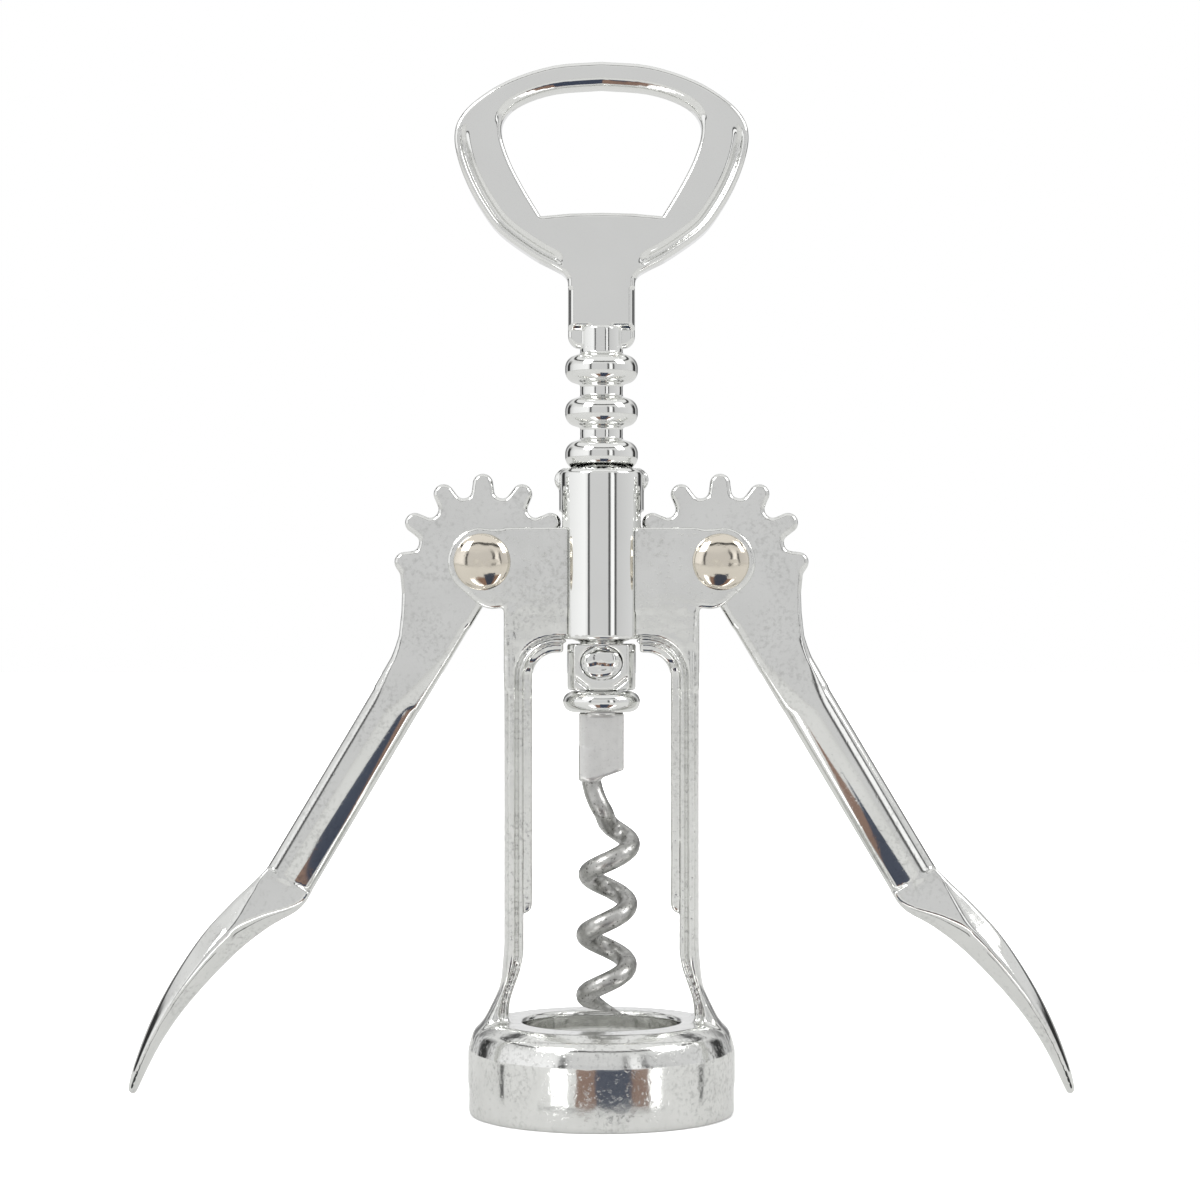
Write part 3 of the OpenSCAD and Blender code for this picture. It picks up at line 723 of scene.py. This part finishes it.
def startNodes(name, inputs):
    group = bpy.data.node_groups.new(name, "GeometryNodeTree")
    group.interface.new_socket("Geometry", in_out="INPUT", socket_type="NodeSocketGeometry")
    for label, value in inputs.items():
        kind = {int: "NodeSocketInt", float: "NodeSocketFloat"}.get(type(value), "NodeSocketMaterial")
        socket = group.interface.new_socket(label, in_out="INPUT", socket_type=kind)
        if kind != "NodeSocketMaterial":
            socket.default_value = value
    group.interface.new_socket("Geometry", in_out="OUTPUT", socket_type="NodeSocketGeometry")
    return group, group.nodes.new("NodeGroupInput").outputs, group.nodes.new("NodeGroupOutput").inputs


def endNodes(group, inside, out, geometry):
    whole = addNode(group, "GeometryNodeRealizeInstances", {"Geometry": geometry})
    shaded = addNode(group, "GeometryNodeSetShadeSmooth", {"Geometry": whole.outputs[0]})
    painted = addNode(group, "GeometryNodeSetMaterial", {"Geometry": shaded.outputs[0],
                      "Material": inside["Material"]})
    group.links.new(painted.outputs[0], out["Geometry"])


def grown(name, group, values, start=None):  # runs a node tree once and keeps its result as a plain mesh
    seed = bpy.data.objects.new(name + "Seed", start or bpy.data.meshes.new(name + "Seed"))
    bpy.context.scene.collection.objects.link(seed)
    nodes = seed.modifiers.new("Nodes", "NODES")
    nodes.node_group = group
    for item in group.interface.items_tree:
        if item.item_type == "SOCKET" and item.in_out == "INPUT" and item.name in values:
            nodes[item.identifier] = values[item.name]
    seed.update_tag()
    bpy.context.view_layer.update()
    ready = seed.evaluated_get(bpy.context.evaluated_depsgraph_get())
    mesh = bpy.data.meshes.new_from_object(ready)
    seed.modifiers.clear()
    bpy.data.objects.remove(seed)
    mesh.name = name
    tidy = bmesh.new()
    tidy.from_mesh(mesh)
    bmesh.ops.remove_doubles(tidy, verts=tidy.verts, dist=1e-6)
    bmesh.ops.holes_fill(tidy, edges=tidy.edges, sides=0)
    bmesh.ops.recalc_face_normals(tidy, faces=tidy.faces)
    tidy.to_mesh(mesh)
    tidy.free()
    piece = bpy.data.objects.new(name, mesh)
    bpy.context.scene.collection.objects.link(piece)
    return piece


def buildRack():
    group, inside, out = startNodes("ringRack", {"Count": 7, "Spacing": 0.0068, "First Ring": 0.077,
                                                 "Material": None})
    rise = addNode(group, "ShaderNodeCombineXYZ", {"Z": inside["Spacing"]})
    first = addNode(group, "ShaderNodeCombineXYZ", {"Z": inside["First Ring"]})
    row = addNode(group, "GeometryNodeMeshLine", {"Count": inside["Count"],
                  "Start Location": first.outputs[0], "Offset": rise.outputs[0]})
    rings = addNode(group, "GeometryNodeInstanceOnPoints", {"Points": row.outputs[0],
                    "Instance": inside["Geometry"]})
    endNodes(group, inside, out, rings.outputs[0])
    return group


behaviour = frame["record"]["behaviour"]
pitchRadius = 1 / behaviour["couplings"][0]["ratio"] / mm  # radius at which the levers roll on the rings
ringSet = {"count": 7, "teeth": 12, "core": 3.4, "radius": 5.8, "steps": 96}
spacing = 2 * math.pi * pitchRadius / ringSet["teeth"]
firstRing = pivot[2] - 1.5 * spacing


def ringUnit(c=ringSet):  # one ring, from mid-gap to mid-gap
    half = curveThrough([(c["core"], -spacing / 2), (c["core"], -2.75), (3.62, -2.42), (4.3, -2.2),
                         (4.95, -1.9), (5.5, -1.3), (5.76, -0.6), (c["radius"], 0)], 4)
    side = np.vstack([half, (half * (1, -1))[::-1][1:]])
    turns = 2 * np.pi * np.arange(c["steps"]) / c["steps"]
    points = [(r * math.cos(t) * mm, r * math.sin(t) * mm, h * mm) for r, h in side for t in turns]
    n = c["steps"]
    faces = [(k * n + i, k * n + (i + 1) % n, (k + 1) * n + (i + 1) % n, (k + 1) * n + i)
             for k in range(len(side) - 1) for i in range(n)]
    mesh = bpy.data.meshes.new("ringUnit")
    mesh.from_pydata(points, [], faces)
    return mesh


rack = grown("ringRack", buildRack(), {"Count": ringSet["count"], "Spacing": spacing * mm,
             "First Ring": firstRing * mm, "Material": finish["shaft_chrome"]}, ringUnit())
standFor(rack, "screw", "shaft_chrome", "rack_shaft")
print("stage: ring rack", len(rack.data.polygons), "faces")

# worm: a wire that runs down from the shank and winds into its turns

shank = {"wide": 3.56, "half": 1.7, "low": 52.9, "high": 63.4, "wireX": -1.7, "stepLow": 53.3,
         "slope": 0.36}
wormSet = {"Wire Radius": 1.575, "Coil Radius": 3.275, "Pitch": 9.6, "Tip Height": 15.1,
           "Top Height": 55.4, "Lead Top": 54.0, "Turn Top": 48.0, "Turn Foot": 42.0, "Sway Top": 52.0,
           "Sway Foot": 41.0, "Coil Offset": 1.3, "Tip Angle": math.radians(50), "Point Height": 3.2}


def buildWorm():
    lengths = {label: value * (1 if label == "Tip Angle" else mm) for label, value in wormSet.items()}
    group, inside, out = startNodes("wireWorm", {**lengths, "Steps": 420, "Sides": 20, "Material": None})

    def value(operation, a, b=0.0):
        return calc(group, operation, a, b)

    def smooth(height, start, finishAt):
        node = addNode(group, "ShaderNodeMapRange", {"Value": height}, interpolation_type="SMOOTHSTEP")
        group.links.new(start, node.inputs["From Min"])
        group.links.new(finishAt, node.inputs["From Max"])
        return node.outputs[0]

    foot = addNode(group, "ShaderNodeCombineXYZ", {"Z": inside["Tip Height"]})
    head = addNode(group, "ShaderNodeCombineXYZ", {"Z": inside["Top Height"]})
    line = addNode(group, "GeometryNodeMeshLine", {"Count": inside["Steps"],
                   "Start Location": foot.outputs[0], "Offset": head.outputs[0]}, mode="END_POINTS")
    position = addNode(group, "GeometryNodeInputPosition")
    z = addNode(group, "ShaderNodeSeparateXYZ", {0: position.outputs[0]}).outputs[2]
    up = value("SUBTRACT", z, inside["Tip Height"])
    turns = value("DIVIDE", up, inside["Pitch"])
    angle = value("ADD", value("MULTIPLY", turns, 2 * math.pi), inside["Tip Angle"])
    lean = addNode(group, "ShaderNodeMapRange", {"Value": z, "From Min": 0.042, "From Max": 0.030,
                   "To Max": 0.0005}, interpolation_type="SMOOTHSTEP").outputs[0]
    centre = value("SUBTRACT", inside["Coil Offset"], lean)
    coilX = value("ADD", centre, value("MULTIPLY", inside["Coil Radius"], value("COSINE", angle)))
    coilY = value("MULTIPLY", inside["Coil Radius"], value("SINE", angle))
    fall = value("MAXIMUM", value("SUBTRACT", inside["Lead Top"], z), 0.0)
    leadX = value("ADD", value("MULTIPLY", value("MULTIPLY", fall, fall), 50.0), shank["wireX"] * mm)
    leadX = value("MINIMUM", leadX, 0.0045)
    turn = smooth(z, inside["Turn Top"], inside["Turn Foot"])
    sway = smooth(z, inside["Sway Top"], inside["Sway Foot"])
    x = value("ADD", leadX, value("MULTIPLY", value("SUBTRACT", coilX, leadX), turn))
    y = value("MULTIPLY", coilY, sway)
    spot = addNode(group, "ShaderNodeCombineXYZ", {"X": x, "Y": y, "Z": z})
    point = addNode(group, "ShaderNodeMapRange", {"Value": up, "From Max": inside["Point Height"],
                    "To Min": 0.24}, interpolation_type="SMOOTHSTEP").outputs[0]
    # the taper is worked out from the height, so it is stored before the points move
    kept = addNode(group, "GeometryNodeStoreNamedAttribute", {"Geometry": line.outputs[0],
                   "Name": "taper", "Value": point}, data_type="FLOAT", domain="POINT")
    placed = addNode(group, "GeometryNodeSetPosition", {"Geometry": kept.outputs[0],
                     "Position": spot.outputs[0]})
    path = addNode(group, "GeometryNodeMeshToCurve", {"Mesh": placed.outputs[0]})
    taper = addNode(group, "GeometryNodeInputNamedAttribute", {"Name": "taper"}, data_type="FLOAT")
    ring = addNode(group, "GeometryNodeCurvePrimitiveCircle", {"Resolution": inside["Sides"],
                   "Radius": inside["Wire Radius"]})
    wire = addNode(group, "GeometryNodeCurveToMesh", {"Curve": path.outputs[0],
                   "Profile Curve": ring.outputs[0], "Scale": taper.outputs[0], "Fill Caps": True})
    endNodes(group, inside, out, wire.outputs[0])
    return group


worm = grown("wireWorm", buildWorm(), {"Material": finish["worm_steel"]})
standFor(worm, "screw", "worm_steel", "worm")


def shankShape(x, y, z, c=shank):
    bar = np.maximum(np.abs(x) - c["wide"], np.maximum(c["low"] - z, z - c["high"]))
    slant = (c["stepLow"] + c["slope"] * (x - 0.6) - z) * 0.94  # its foot slopes to the wire
    bar = blendCommon(bar, slant, 0.3)
    bar = roundedSlab(bar, y, c["half"] - 0.12 * ease((np.abs(x) - 2.6) / 0.5), 0.35)
    wire = np.hypot(x - c["wireX"], y) - wormSet["Wire Radius"] + 0.02
    wire = np.maximum(wire, np.abs(z - 55) - 2.4)
    spigot = np.maximum(np.hypot(x, y) - 2.6, np.abs(z - 67.75) - 4.75)
    return blendJoin(blendJoin(bar, wire, 1.0), spigot, 0.2)


points, faces = castSurface(shankShape, (-3.7, -2.7, 51.5), (3.7, 2.7, 72.8), 0.26)
wormShank = meshPiece("wormShank", points, faces, finish["shank_steel"])
standFor(wormShank, "screw", "worm_steel", "worm")
print("stage: worm", len(worm.data.polygons), "faces")

# studio

studio = {"cameraBack": 500.0, "cameraHigh": 81.3, "seen": 190.5, "floor": 3000.0}
scene = bpy.context.scene


def stageCard(name, corners, colour, glow=0.0):
    mesh = bpy.data.meshes.new(name)
    mesh.from_pydata([tuple(np.array(c) * mm) for c in corners], [], [(0, 1, 2, 3)])
    card = bpy.data.objects.new(name, mesh)
    scene.collection.objects.link(card)
    material = bpy.data.materials.new(name)
    material.use_nodes = True
    shader = material.node_tree.nodes["Principled BSDF"]
    shader.inputs["Base Color"].default_value = (*colour, 1)
    shader.inputs["Roughness"].default_value = 0.8
    if glow:
        shader.inputs["Emission Color"].default_value = (*colour, 1)
        shader.inputs["Emission Strength"].default_value = glow
    mesh.materials.append(material)
    return card


def paleFloor(w=studio["floor"]):  # white to the camera, dimmer in the plating, glowing towards its far edge
    floor = stageCard("paleFloor", [(-w, -w, 0), (w, -w, 0), (w, w, 0), (-w, w, 0)], (0.9, 0.9, 0.9))
    tree = floor.data.materials[0].node_tree
    shader = tree.nodes["Principled BSDF"]
    seen = addNode(tree, "ShaderNodeLightPath").outputs["Is Camera Ray"]
    place = addNode(tree, "ShaderNodeTexCoord").outputs["Object"]
    gap = addNode(tree, "ShaderNodeVectorMath", {0: place}, operation="LENGTH").outputs["Value"]
    fade = addNode(tree, "ShaderNodeMapRange", {"Value": gap, "From Min": 0.12, "From Max": 0.5}).outputs[0]
    tone = addNode(tree, "ShaderNodeMix", {0: seen}, data_type="RGBA")
    tone.inputs[6].default_value = (0.12, 0.12, 0.12, 1)
    tone.inputs[7].default_value = (0.95, 0.95, 0.95, 1)
    glow = addNode(tree, "ShaderNodeMix", {0: seen, 2: 0.5, 3: fade}, data_type="FLOAT")
    tree.links.new(tone.outputs[2], shader.inputs["Base Color"])
    tree.links.new(glow.outputs[0], shader.inputs["Emission Strength"])
    shader.inputs["Emission Color"].default_value = (1, 1, 0.985, 1)


paleFloor()
tones = {"night": (0.012, 0.018, 0.035), "brown": (0.12, 0.07, 0.05), "white": (1.0, 1.0, 1.0),
         "black": (0.01, 0.01, 0.01)}
# low cards in front, mirrored by the bell: (from, to) in degrees round the bell, then near and far distance
fan = {"night": [(-2.5, 12.8, 23, 170)], "brown": [(-11, -2.5, 23, 120), (12.8, 20.5, 23, 120)],
       "white": [(-22, -14.5, 23, 110), (21.5, 26, 23, 110)],
       "black": [(-49, -46.5, 23, 80), (46.5, 49, 23, 80), (-28, 0, 20.5, 22.5), (0, 28, 20.5, 22.5)]}


def fanCard(name, tone, start, stop, near, far):
    corners = []
    for turn, gap in ((start, near), (stop, near), (stop, far), (start, far)):
        t = math.radians(turn)
        corners.append((bellR * math.sin(t) + gap * math.sin(2 * t),
                        -bellR * math.cos(t) - gap * math.cos(2 * t), 0.5))
    card = stageCard(name, corners, tones[tone], 0.9 if tone == "white" else 0.0)
    card.visible_camera = False
    card.visible_diffuse = False
    card.visible_shadow = False


for tone, sectors in fan.items():
    for number, sector in enumerate(sectors):
        fanCard(tone + "Card" + str(number), tone, *sector)


# soft surroundings for the plating to mirror: pale, with bright boxes, narrow dark gaps and a dark rail
skyBands = [(0.0, 0.85), (0.03, 0.8), (0.045, 0.22), (0.085, 0.22), (0.1, 0.72), (0.115, 0.72), (0.13, 0.04),
            (0.165, 0.04), (0.18, 0.7), (0.23, 0.95), (0.375, 1.1), (0.392, 0.9), (0.398, 0.12),
            (0.41, 0.12), (0.416, 0.7), (0.548, 0.7), (0.554, 0.12), (0.566, 0.12), (0.572, 1.15),
            (0.595, 1.15), (0.601, 0.12), (0.612, 0.12), (0.618, 0.66), (0.8, 0.8), (0.82, 0.7),
            (0.835, 0.04), (0.87, 0.04), (0.885, 0.72), (0.915, 0.22), (0.955, 0.22), (0.97, 0.8),
            (1.0, 0.85)]
skyRails = [(0.0, 0.8), (0.57, 0.8), (0.6, 0.08), (0.66, 0.08), (0.69, 0.9), (1.0, 0.9)]


def fillRamp(node, stops, blue=1.0):
    elements = node.color_ramp.elements
    while len(elements) < len(stops):
        elements.new(0.5)
    for element, (at, level) in zip(elements, stops):
        element.position = at
        element.color = (level, level, level * blue, 1)


def buildSky():
    world = bpy.data.worlds.new("studio")
    scene.world = world
    world.use_nodes = True
    tree = world.node_tree
    direction = addNode(tree, "ShaderNodeTexCoord").outputs["Generated"]
    parts = addNode(tree, "ShaderNodeSeparateXYZ", {0: direction}).outputs
    bearing = calc(tree, "ARCTAN2", parts[0], calc(tree, "MULTIPLY", parts[1], -1.0))
    across = calc(tree, "MULTIPLY_ADD", bearing, 1 / (2 * math.pi), 0.5)
    bands = addNode(tree, "ShaderNodeValToRGB")
    tree.links.new(across, bands.inputs[0])
    fillRamp(bands, skyBands, 1.01)
    over = addNode(tree, "ShaderNodeMapRange", {"Value": parts[2], "From Min": 0.3, "From Max": 0.5})
    height = addNode(tree, "ShaderNodeValToRGB", {0: parts[2]})
    fillRamp(height, skyRails)
    lid = addNode(tree, "ShaderNodeMix", {0: over.outputs[0]}, data_type="RGBA")
    tree.links.new(bands.outputs[0], lid.inputs[6])
    tree.links.new(height.outputs[0], lid.inputs[7])
    seen = addNode(tree, "ShaderNodeLightPath").outputs["Is Camera Ray"]
    backdrop = addNode(tree, "ShaderNodeMix", {0: seen}, data_type="RGBA")
    tree.links.new(lid.outputs[2], backdrop.inputs[6])
    backdrop.inputs[7].default_value = (1, 1, 1, 1)
    tree.links.new(backdrop.outputs[2], tree.nodes["Background"].inputs["Color"])
    tree.nodes["Background"].inputs["Strength"].default_value = 1.0


def areaLight(name, place, aim, size, power):
    light = bpy.data.lights.new(name, "AREA")
    light.size, light.energy = size * mm, power
    lamp = bpy.data.objects.new(name, light)
    scene.collection.objects.link(lamp)
    lamp.location = Vector(place) * mm
    lamp.rotation_euler = (Vector(aim) * mm - lamp.location).to_track_quat("-Z", "Y").to_euler()
    return lamp


buildSky()
areaLight("softboxLeft", (-700, -600, 800), (0, 0, 70), 500, 5)
areaLight("softboxRight", (800, -300, 700), (0, 0, 80), 450, 3)
overhead = areaLight("softboxOverhead", (0, 100, 1600), (0, 0, 0), 2200, 40)
overhead.visible_glossy = False  # lights the floor without glaring in the plating

camera = bpy.data.cameras.new("camera")
camera.lens_unit = "FOV"
camera.angle = 2 * math.atan(studio["seen"] / 2 / studio["cameraBack"])
camera.clip_start = 0.01
cameraObject = bpy.data.objects.new("camera", camera)
scene.collection.objects.link(cameraObject)
cameraObject.location = (-0.24 * mm, -studio["cameraBack"] * mm, studio["cameraHigh"] * mm)
cameraObject.rotation_euler = (math.radians(90), 0, 0)
scene.camera = cameraObject
scene.view_settings.view_transform = "Standard"
print("stage: studio ready")
